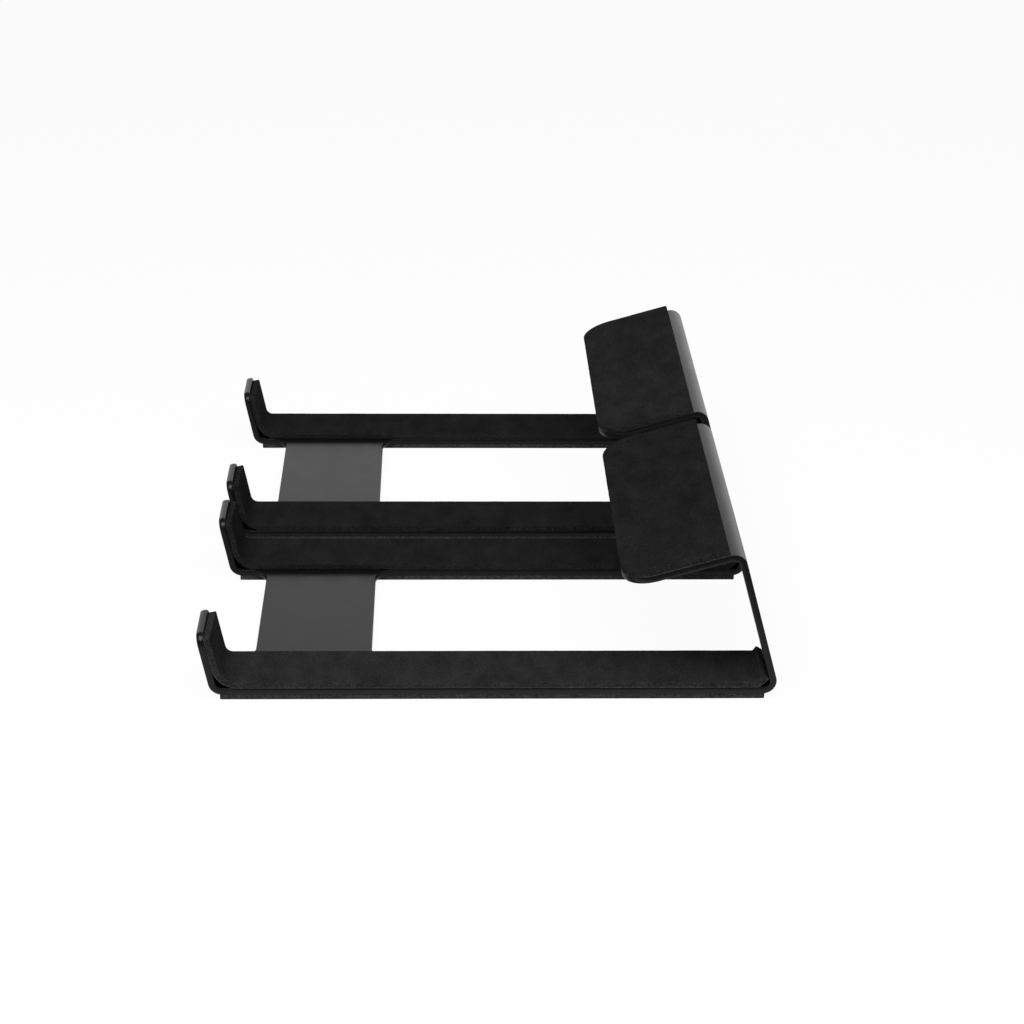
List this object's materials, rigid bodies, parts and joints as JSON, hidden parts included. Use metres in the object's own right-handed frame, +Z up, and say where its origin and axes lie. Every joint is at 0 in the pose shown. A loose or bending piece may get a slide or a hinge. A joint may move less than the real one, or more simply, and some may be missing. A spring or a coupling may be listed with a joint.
{
  "type": "laptop stand",
  "caption": "Laptop stand of bent plate brackets, each with padded rails that end in front lips and a sloped padded shelf on rear legs.",
  "frame": {"origin": "on the table, under the middle of the pair's bounding box", "axes": "+Z up, +X from the front lips to the rear legs, +Y from the right bracket to the left one"},
  "size_m": [0.2512, 0.315, 0.0716],
  "materials": {
    "powder_coated_steel": "black powder coat, semi-gloss, with a fine orange peel",
    "pad_foam": "matte black foam rubber, finely mottled, with paler speckled cut edges",
    "foot_rubber": "matte dark grey rubber strip with a speckled cut edge"
  },
  "bodies": {
    "right_unit": {"right_bracket": "powder_coated_steel", "right_shelf_pad": "pad_foam", "right_outer_rail_pad": "pad_foam", "right_outer_foot_strip": "foot_rubber", "right_inner_rail_pad": "pad_foam", "right_inner_foot_strip": "foot_rubber"},
    "left_unit": {"left_bracket": "powder_coated_steel", "left_shelf_pad": "pad_foam", "left_inner_rail_pad": "pad_foam", "left_inner_foot_strip": "foot_rubber", "left_outer_rail_pad": "pad_foam", "left_outer_foot_strip": "foot_rubber"}
  },
  "joints": [
    {"name": "left_unit_slide", "type": "slide", "parent": "right_unit", "child": "left_unit", "axis": [0, 1, 0], "range_m": [-0.012, 0.1]}
  ]
}
